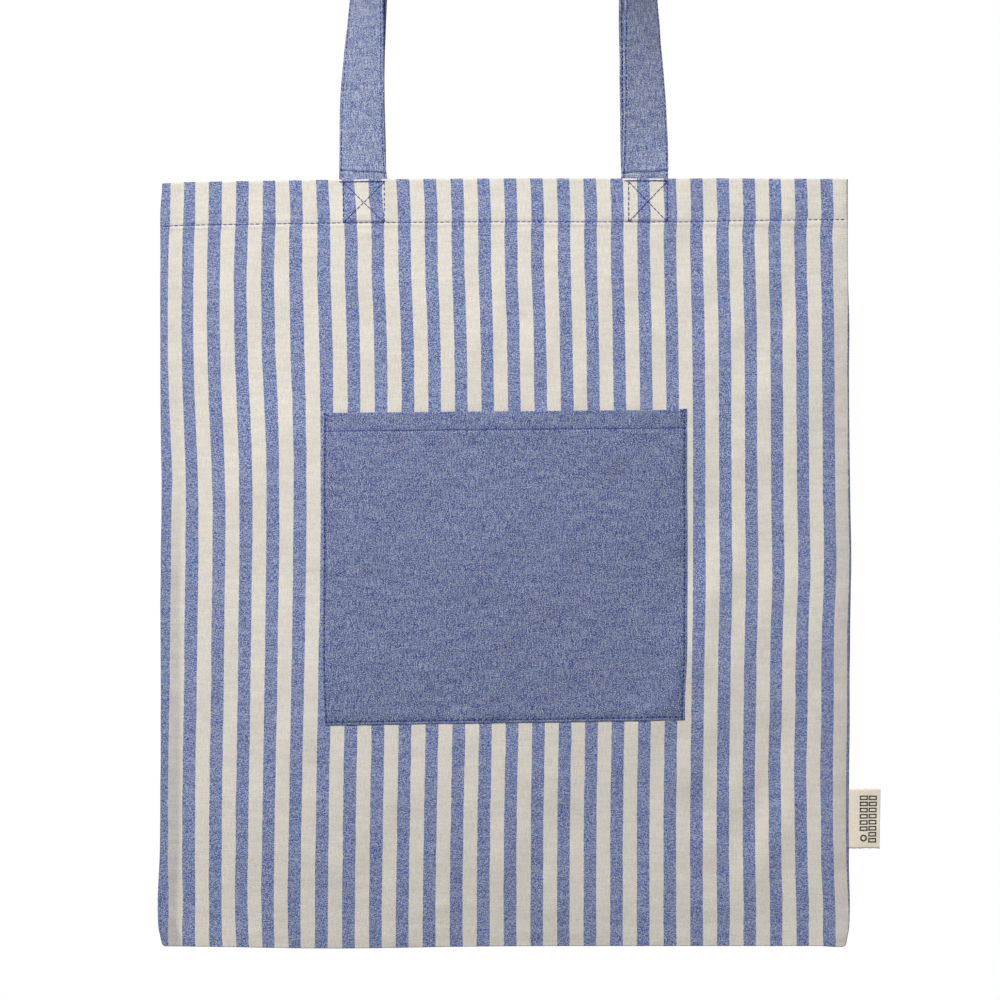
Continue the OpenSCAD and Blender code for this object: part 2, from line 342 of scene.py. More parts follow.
class Side:
    """The front (sign -1) or back (sign 1) of the bag, as a surface over its flat pattern.

    u runs across from the middle, v up from the base, and n out of the cloth, all in millimetres.
    """

    # How the right and left edges bulge and dip: height up the bag, width and millimetres.
    RIGHT_EDGE = [(215, 130, 0.9), (212, 24, 0.7), (22, 14, 0.5)]
    LEFT_EDGE = [(255, 28, -0.7), (160, 40, -0.3), (21, 24, 1.4)]
    # Where the stripes are pulled aside: shares across and up, width and height, and millimetres.
    PULLS = [
        (-0.69, 0.79, 0.13, 0.09, -1.35),
        (-0.45, 0.92, 0.12, 0.03, 0.6),
        (-0.42, 0.985, 0.08, 0.035, -0.7),
        (-0.3, 0.76, 0.2, 0.07, 0.35),
        (0.25, 0.78, 0.25, 0.08, -0.3),
        (0.85, 0.24, 0.2, 0.05, -0.6),
        (0.75, 0.46, 0.25, 0.06, 0.45),
        (0.0, 0.875, 0.7, 0.035, -0.35),
        (-0.7, 0.875, 0.12, 0.04, -0.5),
    ]

    def __init__(self, sign, seed):
        self.sign = sign
        self.ends = (-SPACING / 2, SPACING / 2)
        self.big = Waves(seed, 90, 230)
        self.mid = Waves(seed + 1, 24, 70)
        self.fine = Waves(seed + 2, 7, 16, 20)
        self.along = Waves(seed + 3, 9, 24, 12)
        self.drift = Waves(seed + 4, 70, 160)
        self.edge = Waves(seed + 5, 30, 160, 8)
        self.creases = Creases(seed + 6, 34)

    def hem_line(self, u):
        """Height of the hem's stitch line, which climbs towards the right edge of the front."""
        climb = np.interp(u, [100, 125, HALF_W], [0, 0.55, 1.6])
        return HEIGHT - HEM_STITCH + (climb if self.sign < 0 else 0)

    def strap_end(self, u, v, stitch, x):
        """Relief over a strap sewn in behind the hem, with its square and cross of stitches."""
        off = np.abs(u - x)
        pad = (1 - smooth(STRAP_W / 2 - 0.8, STRAP_W / 2 + 0.9, off)) * smooth(0.5, 2.0, stitch + 0.8)
        half = STRAP_W / 2 - 1.4
        rise = (stitch - 11) / 10.5
        cross = np.minimum(np.abs((u - x) / half - rise), np.abs((u - x) / half + rise)) * 7.8
        d = 0.55 * pad - np.where(pad > 0.02, 0.16 * bell(cross, 0.8), 0)
        d = d - 0.2 * bell(off - half, 0.7) * smooth(-1, 1, stitch)
        pull = bell(u - x, 13) - 0.6 * bell(off - 24, 11)
        return d + 0.6 * pull * smooth(60, 0, HEIGHT - HEM_STITCH - v) * smooth(HEIGHT, HEIGHT - 30, v)

    def relief(self, u, v):
        """Height of the wrinkles, the puckers along the seams and the steps over what lies beneath."""
        a = np.abs(u)
        calm = (1 - smooth(140, HALF_W - 2, a)) * smooth(0, 60, v)
        calm = calm * (1 - 0.6 * smooth(HEIGHT - 90, HEIGHT, v))
        d = self.big(u, v) * calm
        d = d + 0.38 * self.mid(u, v) * (0.35 + 0.65 * calm) * (1 + 0.5 * smooth(40, 130, u))
        d = d + 0.10 * self.fine(u, v) + self.creases(u, v)
        stitch = v - self.hem_line(u)
        fold = v - (HEIGHT - HEM) - 0.25 * self.along(u, 0)
        d = d + 0.20 * smooth(-0.9, 0.9, fold) + 0.05 * bell(fold - 0.3, 0.8) - 0.08 * bell(fold + 1.6, 1.1)
        d = d - 0.30 * bell(stitch, 0.8) + 0.16 * self.along(u, 3) * bell(stitch, 6)
        for x in self.ends:
            d = d + self.strap_end(u, v, stitch, x)
        seam = smooth(HALF_W - 14, HALF_W - 5, a)
        d = d + 0.16 * self.along(v, u * 0.25) * seam * smooth(0, 6, v)
        d = d + 0.22 * smooth(HALF_W - 10.6, HALF_W - 9.2, a) - 0.18 * smooth(HALF_W - 3, HALF_W - 1, a)
        low = smooth(16, 4, v)
        return d + 0.14 * self.along(u, v * 0.25 + 40) * low + 0.2 * smooth(10.6, 9.4, v)

    def point(self, u, v, n):
        a = np.abs(u)
        gap = half_gap(u, v)
        edge = rounded(HALF_W - a, 0.8) * rounded(v - lower_edge(u), 0.35)
        n = np.where(n < 0, np.maximum(n, -0.9 * (gap - GROOVE)), n)
        y = GROOVE + (gap + n + self.relief(u, v) - GROOVE) * edge
        wave = self.edge(v, np.sign(u) * 50) * 0.15 * smooth(60, HALF_W, a) * smooth(0, 40, v)
        spread = bells(v, self.RIGHT_EDGE) + 0.5 * smooth(375, 340, v) + 0.2 * smooth(80, 20, v)
        narrow = 0.7 + bells(v, self.LEFT_EDGE) - 1.1 * smooth(HEIGHT - 19, HEIGHT, v)
        x = u + wave - np.sign(u) * nip(u, v)
        x = x + spread * smooth(90, HALF_W, u) - narrow * smooth(-90, -HALF_W, u)
        # The top edge droops towards the left, and the bottom edge sags left of the middle.
        droop = 0.1 + 0.3 * smooth(70, 130, u) - 1.75 * np.clip(-u / HALF_W, 0, 1) ** 1.5
        droop = droop - 0.45 * smooth(-176, -HALF_W, u)
        hang = -0.65 - 1.35 * bell(u + 95, 62) - 0.5 * smooth(HALF_W - 16, HALF_W - 4, u)
        z = BASE + v + droop * smooth(HEIGHT * 0.55, HEIGHT, v) + hang * smooth(140, 0, v)
        return stacked(x, self.sign * y, z)

    def lean(self, u, t):
        """How far the stripes are pulled off the straight, in millimetres, at a share t of the height."""
        # Most of these coefficients were fitted by least squares to the photo's stripes.
        x = u / HALF_W
        pulled = 2.77 + 2.04 * x - 1.57 * x**2 + 1.17 * x**3 - t * (7.92 + 6.71 * x + 3.43 * x**2)
        pulled = pulled + t**2 * (24.7 + 5.54 * x + 2.75 * x**2) - 18.35 * t**3
        swing = 1.15 * np.sin(3 * math.pi * t) + 0.3 * np.cos(3 * math.pi * t)
        left = 6.2 - 19.5 * t + 14.4 * t**2 + 1.2 * smooth(0.8, 1, t) - swing
        right = 1.15 + 3.55 * t - 3.85 * t**2
        pulled = pulled + smooth(-0.55, -1, x) * left - smooth(0.55, 1, x) * right
        # The cloth that turns in at the right edge, and the first stripe in from the left edge.
        rim = 2.2 * smooth(0.8, 0.93, t) - 0.6 * smooth(0.9, 0.75, t) - 0.8 * bell(t - 0.167, 0.06)
        pulled = pulled + rim * smooth(HALF_W - 2.4, HALF_W - 0.5, u)
        pulled = pulled + 1.5 * smooth(-0.87, -0.97, x) * smooth(0.52, 0.65, t)
        # The folded hem sits a little further to the right, and the bottom left corner is drawn out.
        hem = 0.6 + 0.6 * smooth(0.2, 0.8, x) + 0.3 * bell(x + 0.6, 0.12)
        hem = hem - 0.9 * smooth(-0.75, -0.9, x) * smooth(0.95, 1, t)
        corner = 0.6 * bell(t - 0.07, 0.025) - 1.7 * smooth(0.05, 0, t)
        pulled = pulled + hem * smooth(0.925, 0.955, t) + corner * smooth(-0.7, -0.95, x)
        for across, up, wide, tall, pull in self.PULLS:
            pulled = pulled + pull * bell(x - across, wide) * bell(t - up, tall)
        return pulled

    def pattern(self, u, v):
        """Where a point of the hanging cloth lies in the striped pattern, in metres."""
        t = np.clip(v / HEIGHT, 0, 1)
        drift = (0.1 if self.sign < 0 else 0.35) * self.drift(u, v)
        aside = 1.7 * np.sin(math.pi * t) - 1.0 * (1 - t) ** 2 + drift + self.lean(u, t)
        return stacked((u - np.sign(u) * nip(u, v) + self.sign * aside) * MM, v * MM)


front, back = Side(-1, 11), Side(1, 47)

EDGE_STEPS = np.array([0, 0.06, 0.2, 0.45, 0.8, 1.2, 2.0, 3.0, 4.2])
PANEL_COLUMNS, PANEL_ROWS = 172, 172


def panel_mesh(side):
    u = columns(HALF_W, EDGE_STEPS, 6, PANEL_COLUMNS)
    fold = HEIGHT - HEM
    near_fold = fold + np.array([-2, -1.2, -0.6, 0, 0.6, 1.2, 1.6, 2, 2.4, 3, 4])
    body = np.linspace(3.2, fold - 3, PANEL_ROWS)
    above = np.linspace(fold + 6, HEIGHT - 1.6, 9)
    climb = chain(EDGE_STEPS[:7], body, near_fold, above, [HEIGHT - 0.75])
    down = chain([HEIGHT - 2], np.linspace(HEIGHT - 4, fold + 1, 8), [fold + 0.4, fold])
    outer, inner, length = rolled_edge(climb, down, HEIGHT, -0.25, 0.75, 0.25, 8, 1.2)
    low = lower_edge(u)[None, :]

    def spread(rows):
        """The rows start at the rounded lower edge."""
        return low + rows * (1 - low / HEIGHT)

    v = spread(outer[0])
    flat = side.pattern(u, v)
    flat[..., 1] = spread(length) * MM
    # Where the cloth hangs, for the seam that shows through: 1 at the front's right edge, -1 at its left.
    where = stacked(-side.sign * u / HALF_W, v / HEIGHT)
    outside, inside = side.point(u, v, outer[1]), side.point(u, spread(inner[0]), inner[1])
    return *shell(outside, inside, flat), chain(where, where)


# ---- the handles


class Strap:
    """A handle from one sewn end to the other, as frames along its length: middle, way across, way out.

    nest is 1 for the strap outside the arch and -1 for the one inside it.
    """

    LEG_STEPS, ARCH_STEPS, END_STEPS = 150, 140, 16
    EDGE_STEPS = np.array([0, 0.05, 0.18, 0.4, 0.7, 0.95, 1.2, 1.45, 1.8, 2.6])
    # How a leg leans between the hem and the arch: millimetres, the height of the middle, and its width.
    RIGHT_LEAN = {1: (-1.6, 80, 70), -1: (1.2, 40, 45)}
    LEFT_LEAN = {1: (0.0, 80, 70), -1: (4.0, 60, 60)}

    def __init__(self, side, nest, seed):
        x0 = side.ends[1]
        hem_n = -1.0 - 0.12 - STRAP_T / 2
        self.wobble = Waves(seed, 30, 120, 8)
        self.crease = Waves(seed + 1, 6, 16, 10)
        self.soft = Waves(seed + 2, 12, 40, 12)
        y0, y_left, y_right = (side.point(x, HEIGHT - 3.0, hem_n)[1] for x in (x0, x0 - 8, x0 + 8))
        slant = math.atan2(y_right - y_left, 16)
        leg = []
        for t in np.linspace(0, 1, self.LEG_STEPS + 1):
            phi = slant + (math.pi / 2 - slant) * t**TWIST
            out = np.array([math.sin(phi), -math.cos(phi), 0])
            across = np.array([math.cos(phi), math.sin(phi), 0])
            half = STRAP_PAIR / 2 + (abs(y0) - STRAP_PAIR / 2) * (1 - t) ** 4
            x = x0 + (ARCH_R - x0) * smooth(0, 1, t)
            leg.append((np.array([x, 0, TOP + t * (ARCH_Z - TOP)]) + nest * out * half, across, out))
        sewn = np.linspace(HEIGHT - HEM + 1, HEIGHT - 1.0, self.END_STEPS)
        end = [(side.point(x0, v, hem_n), *leg[0][1:]) for v in sewn]
        arch = []
        for a in np.linspace(0, math.pi, self.ARCH_STEPS + 1)[1:-1]:
            out = np.array([math.cos(a), 0, math.sin(a)])
            middle = np.array([0, 0, ARCH_Z]) + out * (ARCH_R + nest * STRAP_PAIR / 2)
            arch.append((middle, np.array([0, 1.0, 0]), out))

        def leaning(frames, amount, centre, width):
            """The legs lean to the middle where they are sewn in, and are not quite straight above."""
            rises = [middle[2] - TOP for middle, _, _ in frames]
            aside = [amount * bell(rise - centre, width) - 0.9 * bell(rise, 60) for rise in rises]
            return [(f[0] + shift * f[1], f[1], f[2]) for f, shift in zip(frames, aside)]

        # From the right end over the arch to the left end.
        mirror = np.array([-1, 1, 1])
        right = leaning(end + leg[1:], *self.RIGHT_LEAN[nest])
        left = [tuple(p * mirror for p in f) for f in leaning(end + leg[1:], *self.LEFT_LEAN[nest])]
        self.mid, self.across, self.out = (np.array(rows) for rows in zip(*right, *arch, *left[::-1]))
        self.at = path_length(self.mid)
        self.length = self.at[-1]
        self.end_len = float(self.at[len(end) - 1])

    def thickness(self, a, s):
        """Half thickness across the strap: four plies with a groove under each row of edge stitches."""
        edge = STRAP_W / 2 - np.abs(a)
        t = STRAP_T / 2 * rounded(edge, 0.7)
        return t - 0.13 * bell(edge - 1.2, 0.55) - 0.07 * bell(edge - 4, 2.5) + 0.03 * self.soft(a * 2, s)

    def point(self, a, s, n, face=1):
        """a runs across the strap, s along it, and n out of its outer (1) or inner (-1) face."""
        mid, across, out = (on_path(s, self.at, frames) for frames in (self.mid, self.across, self.out))
        from_hems = [s - self.end_len, self.length - s - self.end_len]
        free = smooth(2, 40, from_hems[0]) * smooth(2, 40, from_hems[1])
        bend = (0.35 * self.wobble(s, 0) + 0.125 * self.soft(a, s)) * free
        for d in from_hems:
            # The crease where the strap comes out of the hem.
            line = d - 4.6 - 0.035 * a - 0.3 * self.crease(a, 0)
            bend = bend + bells(line, [(0, 0.6, -0.85), (1.5, 1.1, 0.45), (-1.7, 1.0, 0.15)])
        cup = -0.35 * free * (a / (STRAP_W / 2)) ** 2
        height = face * self.thickness(a, s) + bend + cup
        wide = 1 + 0.006 * self.wobble(s, 90) * free
        return mid + unit(across) * (a * wide)[..., None] + unit(out) * (height + face * n)[..., None]

    def mesh(self):
        hem, near, far = self.end_len, 0.45, 14
        sewn = np.linspace(0, hem, 14)
        crease = hem + np.arange(1, 30) * near
        free = np.linspace(hem + far, self.length - hem - far, 420)
        s = chain(sewn, crease, free, (self.length - crease)[::-1], (self.length - sewn)[::-1])[:, None]
        a = columns(STRAP_W / 2, self.EDGE_STEPS, 4, 9)
        return shell(self.point(a, s, 0.0, 1), self.point(a, s, 0.0, -1), stacked(a, s) * MM, (0.5, 0))


# ---- the pocket


class Pocket:
    """The patch pocket: u runs across from the middle, w up from its base, and n out of the cloth."""

    REST = PLY + 0.15
    EDGE_STEPS = np.array([0, 0.05, 0.17, 0.4, 0.8, 1.2, 1.6, 2.0, 2.6])
    HEM_STEPS = np.array([0, 0.7, 1.3, 1.7, 2.0, 2.3, 2.8, 3.6, 5, 7, 9, 10.4, 11.5])

    def __init__(self, seed):
        self.mid = Waves(seed, 22, 80)
        self.fine = Waves(seed + 1, 6, 15, 18)
        self.along = Waves(seed + 2, 7, 20, 12)

    def gape(self, u, w):
        across = np.clip(1 - (u / POCKET_HALF) ** 2, 0, 1)
        return POCKET_GAPE * across * np.clip(1 - ((POCKET_H - w) / POCKET_H) ** 1.5, 0, 1)

    def relief(self, u, w):
        side, low = POCKET_HALF - np.abs(u), w
        near = np.minimum(side, low)
        d = 0.30 * self.mid(u, w) * smooth(0, 30, near) + 0.035 * self.fine(u, w)
        stitch = w - POCKET_HEM_LINE
        d = d + bells(stitch, [(0, 0.8, -0.22), (-2.4, 1.2, 0.12)])
        d = d + 0.1 * self.along(u, 5) * bell(stitch, 4)
        d = d - 0.22 * bell(np.minimum(side - 1.4, low - POCKET_BASE_LINE), 0.6) * smooth(-2, 0, near)
        d = d + 0.12 * self.along(w, u * 0.2) * bell(side, 7)
        d = d + 0.12 * self.along(u, w * 0.2 + 30) * bell(low, 7)
        return d - 0.28 * smooth(7.2, 9.0, near) * smooth(POCKET_H - 12.6, POCKET_H - 14, w)

    def point(self, u, w, n):
        inwards, up = POCKET_HALF - np.abs(u), w / POCKET_H
        v = POCKET_BASE + w
        under = front.relief(u, v) * (1 - smooth(4, 20, inwards) * smooth(4, 20, w) * 0.4)
        press = 0.5 + 0.5 * smooth(0.5, 6, np.minimum(inwards, w))
        edge = rounded(inwards, 0.8) * rounded(w, 0.8)
        y = half_gap(u, v) + self.REST + self.gape(u, w) + under + (n * press + self.relief(u, w)) * edge
        # The pocket leans a little, its right corner is tipped up, and its bottom corners run in.
        lean = (0.87 + 0.6 * (1 - up)) * u / POCKET_HALF - 0.55
        tip = 0.7 * bell(POCKET_HALF - u, 5) * smooth(POCKET_H - 14, POCKET_H, w)
        x = u + 0.2 * self.mid(w * 0.7, 50) * (np.abs(u) / POCKET_HALF) ** 4
        x = x + (0.4 - 1.5 * smooth(44, 0, w)) * smooth(30, POCKET_HALF, u)
        x = x + (0.4 * up**2 + 0.9 * smooth(36, 0, w)) * smooth(-40, -POCKET_HALF, u)
        return stacked(x, -y, BASE + v + lean + tip)

    def mesh(self):
        u = columns(POCKET_HALF, self.EDGE_STEPS, 4, 110)
        hem = POCKET_H - POCKET_HEM
        climb = chain(self.EDGE_STEPS, np.linspace(4, hem - 1, 90), hem + self.HEM_STEPS)
        down = chain([POCKET_H - 1.2], np.linspace(POCKET_H - 3, hem + 0.4, 6), [hem])
        outer, inner, length = rolled_edge(climb, down, POCKET_H, 0.5, 0.5, 0.05, 7, 1.0)
        return shell(self.point(u, *outer), self.point(u, *inner), stacked(u, length) * MM)


# ---- materials

# A pair of colours is the darkest and the palest yarn of a cloth or a thread.
CREAM = (0.69, 0.65, 0.575, 1), (0.86, 0.82, 0.735, 1)
STRIPE_BLUE = (0.035, 0.086, 0.335, 1), (0.36, 0.44, 0.68, 1)
PLAIN_BLUE = (0.019, 0.057, 0.26, 1), (0.247, 0.32, 0.51, 1)
HANDLE_BLUE = (0.044, 0.094, 0.31, 1), (0.42, 0.48, 0.65, 1)
BLUE_THREAD = (0.014, 0.034, 0.17, 1), (0.05, 0.095, 0.34, 1)
POCKET_THREAD = (0.03, 0.065, 0.27, 1), (0.11, 0.18, 0.48, 1)
CREAM_THREAD = (0.55, 0.52, 0.45, 1), (0.78, 0.75, 0.68, 1)
LABEL_CREAM = (0.85, 0.76, 0.62, 1), (0.97, 0.90, 0.77, 1)
LABEL_INK = (0.03, 0.022, 0.025, 1)
FLECK = (0.60, 0.57, 0.51, 1)
# Painted shade for the shadowed needle holes along the pocket's stitching.
HOLE_SHADE_COLOUR = (0.008, 0.014, 0.05, 1)
SEAM_GREY = (0.66, 0.67, 0.735, 1)
FLOOR_GREY, WHITE = (0.93, 0.93, 0.93, 1), (1, 1, 1, 1)

# The share of the bag's half width from where on the seam allowance shows, and how soft its edge is.
SEAM_SHOWS, SEAM_SOFT = 1 - 10.9 / HALF_W, 0.009
# The share of a turn, one blue and one cream stripe, where the blue fades out.
BLUE_REACH = 0.228, 0.246
WEAVE = 0.62 * MM
# The dark middle of the painted shade in a needle hole, and where that painted shade ends.
HOLE_R, HOLE_SHADE = 0.37 * MM, 0.78 * MM
# Rows of blocks in place of the label's words: way out from the seam, start up the label, pitch and count.
BLOCK_ROWS = [(13.9, 2.8, 3.35, 8), (9.0, 9.2, 3.42, 6)]
BLOCK_HALF_U, BLOCK_HALF_V, BLOCK_LINE = 2.1, 1.15, 0.22
RING_U, RING_V, RING_R = 9.0, 5.7, 1.5


class Nodes:
    """Short names for the nodes of a material or a world, and for what feeds its last node."""

    def __init__(self, owner, last="Principled BSDF"):
        owner.use_nodes = True
        self.owner, self.tree = owner, owner.node_tree
        self.last = self.tree.nodes[last]

    def node(self, kind, **settings):
        n = self.tree.nodes.new(kind)
        for key, value in settings.items():
            setattr(n, key, value)
        return n

    def link(self, value, socket):
        if isinstance(value, bpy.types.NodeSocket):
            self.tree.links.new(value, socket)
        else:
            socket.default_value = value

    def feed(self, n, *values, **named):
        """Fills a node's inputs in order, or by name with _ for a space, and returns its first output."""
        for value, socket in zip(values, n.inputs):
            self.link(value, socket)
        for key, value in named.items():
            self.link(value, n.inputs[key.replace("_", " ")])
        return next(iter(n.outputs), None)

    def set(self, **named):
        self.feed(self.last, **named)

    def math(self, operation, *values):
        return self.feed(self.node("ShaderNodeMath", operation=operation), *values)

    def add(self, a, b):
        return self.math("ADD", a, b)

    def minus(self, a, b):
        return self.math("SUBTRACT", a, b)

    def times(self, a, b, plus=0.0):
        return self.math("MULTIPLY_ADD", a, b, plus)

    def away(self, value, middle):
        """How far a value lies from a middle, either way."""
        return self.math("ABSOLUTE", self.minus(value, middle))

    def distance(self, x, y):
        return self.math("SQRT", self.add(self.times(x, x), self.times(y, y)))

    def mix(self, factor, a, b, blend="MIX"):
        n = self.node("ShaderNodeMix", data_type="RGBA", blend_type=blend)
        # Inputs 6 and 7 are the two colours, and output 2 is their mixture.
        self.feed(n, factor)
        self.link(a, n.inputs[6])
        self.link(b, n.inputs[7])
        return n.outputs[2]

    def uv(self, name="flat"):
        n = self.node("ShaderNodeUVMap", uv_map=name)
        split = self.node("ShaderNodeSeparateXYZ")
        self.feed(split, n.outputs[0])
        return split.outputs[0], split.outputs[1]

    def noise(self, x, y, scale_x, scale_y, detail, offset):
        x, y = self.times(x, scale_x, offset), self.times(y, scale_y, offset * 1.7)
        place = self.feed(self.node("ShaderNodeCombineXYZ"), x, y)
        n = self.node("ShaderNodeTexNoise", noise_dimensions="2D")
        return self.feed(n, Vector=place, Scale=1.0, Detail=detail, Roughness=0.6)

    def range(self, value, a, b, c=0.0, d=1.0):
        """c up to a, d from b on, and an even S between them."""
        n = self.node("ShaderNodeMapRange", interpolation_type="SMOOTHSTEP")
        return self.feed(n, value, a, b, c, d)

    def bump(self, height, strength, distance):
        n = self.node("ShaderNodeBump")
        self.set(Normal=self.feed(n, Strength=strength, Distance=distance, Height=height))

    def soften(self, rough=0.92):
        self.set(Roughness=rough, Sheen_Weight=0.25, Sheen_Roughness=0.6)
        return self.owner


def material_nodes(name):
    m = Nodes(bpy.data.materials.new(name))
    m.set(Specular_IOR_Level=0.25)
    return m


class Yarns:
    """A woven cloth's yarns: specks, streaks both ways, clouds, and the grid they weave."""

    # The yarns' sum half way from dark to pale, and how far dark and pale lie from it.
    MIDDLE, SPREAD = 0.8, 0.21

    def __init__(self, m, u, v, offset=0.0):
        self.m = m
        self.speck = m.noise(u, v, 2100, 1500, 2.0, 3.0 + offset)
        self.weft = m.noise(u, v, 560, 1750, 2.0, 11.0 + offset)
        self.warp = m.noise(u, v, 2200, 170, 2.0, 23.0 + offset)
        self.cloud = m.noise(u, v, 90, 420, 3.0, 31.0 + offset)
        self.fleck = m.noise(u, v, 1700, 1900, 1.0, 61.0)
        over, under = (m.math("SINE", m.times(x, 2 * math.pi / WEAVE)) for x in (u, v))
        self.plain = m.times(over, under)

    def chambray(self, blues, weft_share, warp_share):
        """Blue yarn crossed by paler yarn, with flecks of undyed yarn."""
        m = self.m
        total = m.times(self.weft, weft_share, self.speck)
        total = m.times(self.warp, warp_share, total)
        total = m.times(self.cloud, 0.45, total)
        centre = (weft_share + warp_share) / 2 + self.MIDDLE
        light = m.range(total, centre - self.SPREAD, centre + self.SPREAD)
        return m.mix(m.range(self.fleck, 0.56, 0.66, 0.0, 0.9), m.mix(light, *blues), FLECK)

    def finish(self, colour, grid_share, strength, depth):
        """The cloth's colour, the relief of its yarns and its soft surface."""
        m = self.m
        streaks = m.add(self.weft, m.times(self.warp, 0.7))
        height = m.times(self.plain, grid_share, streaks)
        m.bump(m.add(height, self.speck), strength, depth)
        m.set(Base_Color=colour)
        return m.soften()


def striped_material():
    m = material_nodes("striped_cloth")
    u, v = m.uv()
    yarns = Yarns(m, u, v)
    wander = m.times(m.noise(u, v, 130, 55, 2.0, 5.0), 0.6 * MM, -0.3 * MM)
    fray = m.times(m.noise(u, v, 900, 1700, 2.0, 7.0), 0.6 * MM, -0.3 * MM)
    s = m.add(m.add(u, wander), fray)
    turn = m.math("DIVIDE", m.minus(s, FIRST_STRIPE * MM), STRIPE_PITCH * MM)
    blue = m.range(m.away(turn, m.math("ROUND", turn)), *BLUE_REACH, 1.0, 0.0)
    slub = m.times(yarns.weft, 0.4, yarns.speck)
    slub = m.add(slub, m.times(yarns.warp, 0.9))
    slub = m.times(m.noise(u, v, 60, 500, 2.0, 71.0), 0.5, slub)
    cream = m.mix(m.range(slub, 1.05, 1.75), *CREAM)
    colour = m.mix(blue, cream, yarns.chambray(STRIPE_BLUE, 1.1, 0.35))
    # The seam allowance behind the edges shows through as a greyer tone, most of all low down.
    across, up = m.uv("place")
    at_right = m.range(up, 1.0, 0.7, 0.03, 0.5)
    at_left = m.add(m.range(up, 0.62, 0.46, 0.15, 0.72), m.range(up, 0.42, 0.08, 0.0, 0.28))
    beyond_right = m.range(across, SEAM_SHOWS - SEAM_SOFT, SEAM_SHOWS + SEAM_SOFT)
    beyond_left = m.range(across, SEAM_SOFT - SEAM_SHOWS, -SEAM_SOFT - SEAM_SHOWS)
    right = m.times(beyond_right, at_right)
    left = m.times(beyond_left, at_left)
    seam = m.times(m.math("MAXIMUM", right, left), m.times(blue, -0.7, 1.0))
    tone = m.times(seam, m.range(m.noise(u, v, 40, 150, 3.0, 51.0), 0.3, 0.7, 0.7, 1.0))
    colour = m.mix(tone, colour, m.mix(1.0, colour, SEAM_GREY, "MULTIPLY"))
    return yarns.finish(colour, 0.25, 0.35, 0.25 * MM)


def paint_hole_shade(m, across, along, pitch, share=0.95):
    """Round spots of painted shade where the needle holes are, one pitch apart along a row of stitches."""
    step = m.math("DIVIDE", along, pitch)
    miss = m.times(m.minus(step, m.math("ROUND", step)), pitch)
    return m.range(m.distance(across, miss), HOLE_R, HOLE_SHADE, share, 0.0)


def pocket_hole_shade(m, u, v):
    """Painted shade in the needle holes of the pocket's edge and hem stitching, in its own flat
    coordinates.
    """
    side, base = POCKET_H - 0.8 - POCKET_BASE_LINE, POCKET_RIGHT_LINE - POCKET_LEFT_LINE
    pitch = even_pitch(2 * side + base, POCKET_EDGE_PITCH) * MM
    up = m.minus(v, POCKET_BASE_LINE * MM)
    from_left = m.minus(u, POCKET_LEFT_LINE * MM)
    from_right = m.minus(u, POCKET_RIGHT_LINE * MM)
    from_hem = m.minus(v, POCKET_HEM_LINE * MM)
    hem_pitch = even_pitch(2 * (POCKET_HALF - 1), POCKET_HEM_PITCH) * MM
    hole_shade = paint_hole_shade(m, from_left, m.minus(side * MM, up), pitch)
    for row in (
        paint_hole_shade(m, up, m.add(from_left, side * MM), pitch),
        paint_hole_shade(m, from_right, m.add(up, (side + base) * MM), pitch),
        paint_hole_shade(m, from_hem, m.add(u, (POCKET_HALF - 1) * MM), hem_pitch, 0.6),
    ):
        hole_shade = m.math("MAXIMUM", hole_shade, row)
    return hole_shade


def chambray_material(name, blues, hole_shade=None):
    m = material_nodes(name)
    u, v = m.uv()
    yarns = Yarns(m, u, v, 40.0)
    colour = yarns.chambray(blues, 0.6, 1.0)
    if hole_shade is not None:
        # Dark dots of painted shade stand for the shadowed needle holes.
        colour = m.mix(hole_shade(m, u, v), colour, HOLE_SHADE_COLOUR)
    return yarns.finish(colour, 0.3, 0.4, 0.28 * MM)


def thread_material(name, colours):
    m = material_nodes(name)
    place = m.node("ShaderNodeTexCoord").outputs["Object"]
    fibres = m.feed(m.node("ShaderNodeTexNoise"), Vector=place, Scale=900.0, Detail=2.0)
    m.set(Base_Color=m.mix(m.range(fibres, 0.35, 0.65), *colours), Roughness=0.6)
    m.bump(fibres, 0.4, 0.1 * MM)
    return m.owner


def label_material():
    """Pale tape with plain outlined blocks and a ring: u runs out from the seam, v up the label."""
    m = material_nodes("label_cloth")
    u, v = m.uv()
    weft = m.noise(u, v, 2600, 420, 2.0, 2.0)
    warp = m.noise(u, v, 420, 2600, 2.0, 9.0)
    fleck = m.noise(u, v, 1800, 1800, 2.0, 17.0)
    total = m.add(m.add(weft, warp), fleck)
    cloth = m.mix(m.range(total, 1.2, 1.85), *LABEL_CREAM)
    ring = m.distance(m.minus(u, RING_U * MM), m.minus(v, RING_V * MM))
    ink = m.range(m.away(ring, RING_R * MM), 0.38 * MM, 0.55 * MM, 1.0, 0.0)
    for column, low, pitch, count in BLOCK_ROWS:
        step = m.math("DIVIDE", m.minus(v, low * MM), pitch * MM)
        along = m.times(m.away(m.math("FRACT", step), 0.5), pitch * MM)
        over_u = m.minus(m.away(u, column * MM), BLOCK_HALF_U * MM)
        over_v = m.minus(along, BLOCK_HALF_V * MM)
        rim = m.away(m.math("MAXIMUM", over_u, over_v), -BLOCK_LINE * MM)
        line = m.range(rim, 0.32 * MM, 0.46 * MM, 1.0, 0.0)
        inside = m.times(m.math("GREATER_THAN", step, 0.0), m.math("LESS_THAN", step, count))
        ink = m.math("MAXIMUM", ink, m.times(line, inside))
    ink = m.times(ink, m.range(fleck, 0.2, 0.5, 0.8, 1.0))
    m.set(Base_Color=m.mix(ink, cloth, LABEL_INK))
    m.bump(m.add(weft, warp), 0.35, 0.2 * MM)
    return m.soften(0.85)


# ---- camera, lights and floor

# The width seen at the bag's front, the middle of the view, and how far off the camera is.
VIEW_WIDTH, FRONT_OUT = 552.0, 12.0
VIEW_X, VIEW_Z = -2.5, TOP - 177.5
DISTANCE, SENSOR = 3200.0, 36.0
FLOOR_DROP, FLOOR_R, FLOOR_SIDES = 110.0, 900.0, 64

